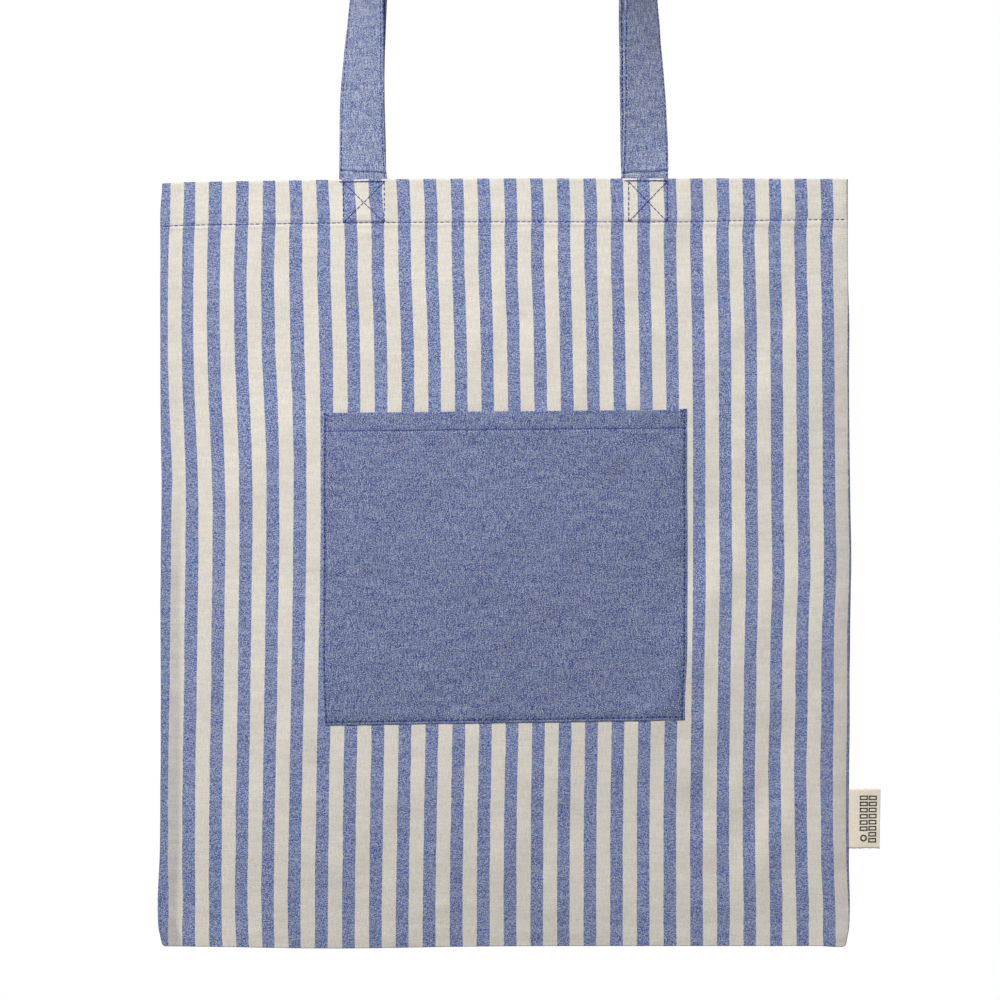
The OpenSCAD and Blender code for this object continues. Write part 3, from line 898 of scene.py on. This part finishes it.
camera = add_object("camera", bpy.data.cameras.new("camera"))
camera.data.sensor_width = SENSOR
camera.data.lens = SENSOR * (DISTANCE - FRONT_OUT) / VIEW_WIDTH
camera.data.clip_end = 50
camera.location = (VIEW_X * MM, -DISTANCE * MM, VIEW_Z * MM)
camera.rotation_euler = (math.radians(90), 0, 0)
bpy.context.scene.camera = camera


def area_light(name, place, aim, size, power, colour=(1, 1, 1)):
    data = bpy.data.lights.new(name, "AREA")
    data.shape = "DISK"
    data.size = size
    data.energy = power
    data.color = colour
    o = add_object(name, data)
    o.location = place
    o.rotation_euler = (Vector(aim) - Vector(place)).to_track_quat("-Z", "Y").to_euler()
    o.visible_camera = False


area_light("key_light", (-0.56, -1.5, 0.92), (1.0, 0, -1.6), 0.75, 46.5, (1.0, 0.985, 0.965))
area_light("fill_light", (1.3, -2.2, -0.2), (0, 0, -0.5), 1.6, 2.0)
area_light("rear_light", (0.9, 1.4, 0.4), (0, 0, -0.45), 1.0, 24.0)

# The camera sees white, and the bag is lit by a faint cool sky.
sky = Nodes(bpy.data.worlds.new("world"), "World Output")
bpy.context.scene.world = sky.owner
seen = sky.node("ShaderNodeLightPath").outputs["Is Camera Ray"]
lit = sky.feed(sky.node("ShaderNodeBackground"), (0.97, 0.985, 1.0, 1), 0.22)
shown = sky.feed(sky.node("ShaderNodeBackground"), WHITE, 1.0)
sky.set(Surface=sky.feed(sky.node("ShaderNodeMixShader"), seen, lit, shown))
bpy.context.scene.view_settings.view_transform = "Standard"
bpy.context.scene.view_settings.look = "None"

around = np.arange(FLOOR_SIDES) / FLOOR_SIDES * 2 * math.pi
rim = stacked(FLOOR_R * np.cos(around), FLOOR_R * np.sin(around), BASE - FLOOR_DROP)
pale = material_nodes("pale_floor")
pale.set(Base_Color=FLOOR_GREY, Roughness=0.9, Emission_Color=WHITE, Emission_Strength=0.55)
floor = make("floor", rim, [np.arange(FLOOR_SIDES)[None, :]], None, pale.owner)
floor.visible_diffuse = False

# ---- pieces

striped = striped_material()
chambray = chambray_material("blue_cloth", PLAIN_BLUE, pocket_hole_shade)
handle_cloth = chambray_material("handle_cloth", HANDLE_BLUE)
thread = thread_material("blue_thread", BLUE_THREAD)
pocket_thread = thread_material("pocket_thread", POCKET_THREAD)
cream_thread = thread_material("cream_thread", CREAM_THREAD)
tape = label_material()


def place(o, node):
    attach(o, "bag")
    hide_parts(node)


def sew(name, parts, material=thread):
    return make(name, *join(parts), None, material, "blue_thread")


for side, name in ((front, "front_panel"), (back, "back_panel")):
    *sheet, where = panel_mesh(side)
    o = make(name + "_cloth", *sheet, striped, "striped_cloth", where)
    place(o, name)

pocket = Pocket(71)
o = make("pocket_cloth", *pocket.mesh(), chambray, "blue_cloth")
place(o, "pocket")


class Seam:
    """The two allowances of the left (sign -1), right (1) or bottom (0) seam, overlocked together.

    across runs inwards from the seam, along runs along it, and n is the height above its middle.
    """

    HALF_T = 0.48
    # A loop of overlock thread round the raw edge: way beyond the edge, height, and way along.
    LOOP_OUT = np.array([-4.4, -2.0, -0.1, 0.25, -0.1, -2.0, -4.4])
    LOOP_UP = np.array([0.5, 0.72, 0.66, 0.0, -0.66, -0.72, -0.5])
    LOOP_ALONG = np.array([0.0, 0.35, 0.75, 1.2, 1.6, 1.95, 2.4])
    LOOP_PITCH, LOOP_R, LOOP_SIDES = 2.7, 0.17, 5

    def __init__(self, sign, seed, low, high):
        self.wave = Waves(seed, 18, 70, 10)
        self.sign, self.low, self.high = sign, low, high

    def point(self, across, along, n):
        y = 0.55 * self.wave(along, 0) * smooth(1, ALLOWANCE, across) + n
        if self.sign == 0:
            return stacked(along, y, BASE + 0.5 + across)
        x = HALF_W - 0.5 - across
        return stacked(self.sign * (x - nip(x, along)), y, BASE + along)

    def mesh(self):
        rows = np.linspace(0, ALLOWANCE, 8)[:, None]
        cols = np.linspace(self.low, self.high, 150)[None, :]
        if self.sign == 0:
            flat = stacked(cols, -(rows + 0.5)) * MM
        else:
            flat = stacked(self.sign * (HALF_W + rows), cols) * MM
        return shell(self.point(rows, cols, self.HALF_T), self.point(rows, cols, -self.HALF_T), flat)

    def overlock(self):
        at = np.arange(self.low + (2 if self.sign == 0 else 6), self.high - 3, self.LOOP_PITCH)[:, None]
        centres = self.point(ALLOWANCE + self.LOOP_OUT, at + self.LOOP_ALONG, self.LOOP_UP)
        normal = np.array([1.0, 0.1, 0.2] if self.sign == 0 else [0.2, 0.1, 1.0])
        return tubes(centres, normal, np.full(len(self.LOOP_UP), self.LOOP_R), self.LOOP_SIDES)


side_ends = (CORNER_R + 1, HEIGHT - HEM - 0.5)
base_ends = (11 - HALF_W, HALF_W - 11)
for which, node, sign, seed, ends in (
    ("left", "left_side_seam", -1, 5, side_ends),
    ("right", "right_side_seam", 1, 6, side_ends),
    ("bottom", "bottom_seam", 0, 7, base_ends),
):
    seam = Seam(sign, seed, *ends)
    o = make(node + "_cloth", *seam.mesh(), striped, "striped_cloth")
    place(o, node)
    name = which + "_seam_overlock"
    o = make(name + "_thread", *seam.overlock(), None, cream_thread, "cream_thread")
    place(o, name)

# ---- stitching

# Kinds of stitching: the pitch, the length of a stitch and the radius of its thread.
HEM_SEWN, HEM_INSIDE = (3.0, 2.7, 0.22), (3.0, 2.55, 0.17)
BOX_SEWN, BOX_TOP, BOX_INSIDE = (2.9, 2.2, 0.29), (2.9, 2.6, 0.25), (2.7, 2.25, 0.19)
CROSS_SEWN = (2.7, 2.5, 0.26)
POCKET_HEM_SEWN, POCKET_EDGE_SEWN = (POCKET_HEM_PITCH, 2.0, 0.36), (POCKET_EDGE_PITCH, 1.9, 0.4)
STRAP_SEWN = (3.0, 2.4, 0.28)


def panel_face(side, base, way=1):
    """The outside (way 1) or the inside (way -1) of a panel, base out of its cloth."""

    def surface(u, v, n):
        return side.point(u, v, way * (base + n))

    return surface


def box_runs(x, half, reach=0.8):
    """The left, top and right sides of a square of stitches, then its cross."""
    high, low = HEIGHT - 1.2, HEIGHT - HEM_STITCH
    return [
        [(x - half, low), (x - half, high)],
        [(x - half - reach, high), (x + half + 0.8, high)],
        [(x + half, high), (x + half, low)],
        [(x - half, low), (x + half, high - 0.5)],
        [(x - half, high - 0.5), (x + half, low)],
    ]


def along_hem(side, a, b):
    u = np.linspace(a, b, 60)
    return stacked(u, side.hem_line(u))


# Where the squares are sewn: off the middle of the strap, half width, and reach past it at the top.
BOXES = {"left": (0.3, 11.3, 2.6), "right": (1.2, 10.7, 1.2)}

for side, name, seed in ((front, "front", 100), (back, "back", 200)):
    line = [along_hem(side, 1.5 - HALF_W, HALF_W - 1.5)]
    # Inside the bag the hem's stitches stop where the straps cover them.
    spans = (14 - HALF_W, -94), (-62, 62), (94, HALF_W - 14)
    inner = [along_hem(side, *span) for span in spans]
    o = sew(name + "_hem_stitches", [
        stitches(line, panel_face(side, PLY + 0.04), *HEM_SEWN, seed),
        stitches(inner, panel_face(side, 1.0, -1), *HEM_INSIDE, seed + 1),
    ])
    place(o, name + "_hem_stitching")
    for x, end in zip(side.ends, ("left", "right")):
        seed += 10
        off, half, reach = BOXES[end]
        outer = box_runs(x + off, half, reach)
        inner = box_runs(x, STRAP_W / 2 - 1.8)
        top = [[(x - 12.2, HEIGHT - 1.3), (x + 12.2, HEIGHT - 1.3)]]
        o = sew(f"{name}_{end}_box_stitches", [
            stitches(outer[:3], panel_face(side, PLY + 0.08), *BOX_SEWN, seed),
            stitches(outer[3:], panel_face(side, PLY + 0.07), *CROSS_SEWN, seed + 3),
            stitches(top, panel_face(side, PLY + 0.22), *BOX_TOP, seed + 5),
            stitches(inner, panel_face(side, 1.12 + STRAP_T, -1), *BOX_INSIDE, seed + 1),
        ])
        place(o, f"{name}_{end}_box_stitching")


def on_pocket(u, w, n):
    return pocket.point(u, w, 1.0 + n)


runs = [[(1 - POCKET_HALF, POCKET_HEM_LINE), (POCKET_HALF - 1, POCKET_HEM_LINE)]]
o = sew("pocket_hem_stitches", [stitches(runs, on_pocket, *POCKET_HEM_SEWN, 301)], pocket_thread)
place(o, "pocket_hem_stitching")
# Down the left side, along the base and up the right, and a short bar at each end of the mouth.
left, right = POCKET_LEFT_LINE, POCKET_RIGHT_LINE
end, bar, bar_in = POCKET_H - 0.8, POCKET_H - 1.0, POCKET_H - 1.2
runs = [
    [(left, end), (left, POCKET_BASE_LINE), (right, POCKET_BASE_LINE), (right, end)],
    [(left - 0.3, bar), (left + 3.0, bar_in)],
    [(right - 3.0, bar_in), (right + 0.5, bar)],
]
o = sew("pocket_edge_stitches", [stitches(runs, on_pocket, *POCKET_EDGE_SEWN, 302)], pocket_thread)
place(o, "pocket_edge_stitching")

# ---- handles and label

# A handle is one strap, sewn in at both ends and bending at the top of the hem.
for side, nest, name, seed in ((front, 1, "front", 500), (back, -1, "back", 600)):
    strap = Strap(side, nest, seed)
    o = make(name + "_handle_strap", *strap.mesh(), handle_cloth, "blue_cloth")
    body = name + "_handle"
    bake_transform(o)
    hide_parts(body, body + "_left_end", body + "_right_end")
    line = STRAP_W / 2 - 1.2
    start = strap.end_len + 1.5
    parts = []
    for face, a in ((1, -line), (1, line), (-1, -line), (-1, line)):

        def surface(across, along, n):
            return strap.point(across, along, n, face)

        run = [(a, start), (a, strap.length - start)]
        parts.append(stitches([run], surface, *STRAP_SEWN, int(face * 7 + a * 3 + 900)))
    o = sew(name + "_handle_stitches", parts)
    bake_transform(o)
    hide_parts(body + "_stitching")

# The label is one tape, folded, with its end caught in the side seam.
LABEL_TAIL = 8.0
LABEL_OUT, LABEL_IN = 0.42, 0.17
tail = HALF_W - LABEL_TAIL
free_end = LABEL_END - LABEL_OUT
straight = chain(np.linspace(tail, HALF_W + 1, 5), np.linspace(HALF_W + 2, free_end, 16))
turn = np.linspace(0, math.pi, 9)[1:-1]


def label_loop(r):
    x = chain(straight, free_end + r * np.sin(turn), straight[::-1])
    y = chain(np.full(len(straight), -r), -r * np.cos(turn), np.full(len(straight), r))
    return x, y


def label_face(r, z, wave):
    """The label's outer or inner face: pinched in the seam, open and curled outside it."""
    x, y = label_loop(r)
    pinch = 1 - 0.45 * smooth(HALF_W + 3, HALF_W - 1, x)
    free = smooth(HALF_W + 1, LABEL_END, x)
    warp = 0.5 * wave(x, z) * free + 0.7 * free**2 * np.sin(z / LABEL_H * 2.2 + 0.6)
    puff = 1 + 0.25 * np.sin(math.pi * np.clip((x - HALF_W - 1) / (LABEL_END - HALF_W - 2), 0, 1))
    fray = 0.12 * wave(x * 9, 0) * (np.abs(z) > LABEL_H / 2 - 0.01)
    aside = 0.25 * free * np.sin(z / 9)
    return stacked(x + aside, y * pinch * puff + warp, z + LABEL_MID + fray)


z = np.linspace(-LABEL_H / 2, LABEL_H / 2, 30)[:, None]
label_wave = Waves(81, 14, 40, 8)
outer, inner = (label_face(r, z, label_wave) for r in (LABEL_OUT, LABEL_IN))
length = path_length(stacked(*label_loop(LABEL_OUT)))
flat = stacked(length - LABEL_TAIL, z + LABEL_H / 2) * MM
label = make("label_tape", *shell(outer, inner, flat, (0.2, 0)), tape, "label_cloth")
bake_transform(label)
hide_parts("label", "label_tail")
